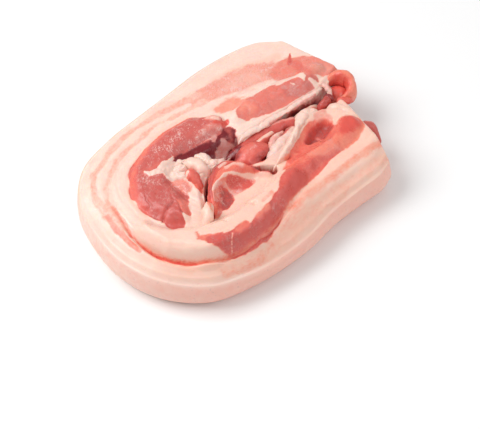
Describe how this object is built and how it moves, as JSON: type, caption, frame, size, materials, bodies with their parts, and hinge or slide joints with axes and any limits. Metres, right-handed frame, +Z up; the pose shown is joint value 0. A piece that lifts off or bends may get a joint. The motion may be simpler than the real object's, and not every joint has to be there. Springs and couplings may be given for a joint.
{
  "type": "pork belly slab",
  "caption": "Raw pork belly slab, a thick layered strip with its rind on, folded round on itself so the lean and fat layers show on the upper cut side.",
  "frame": {"origin": "middle of the slab's box, on the surface that it lies on", "axes": "+X from the bend to the two cut ends, along the slab's length; +Z up, out of the cut side that shows; -Y is the near side"},
  "size_m": [0.218, 0.162, 0.047],
  "materials": {
    "raw_pork": "moist raw meat: pink lean, cream fat and pale pink rind in layers, with a soft uneven gloss"
  },
  "bodies": {
    "root": {"pork_belly_slab": "raw_pork"}
  },
  "joints": []
}
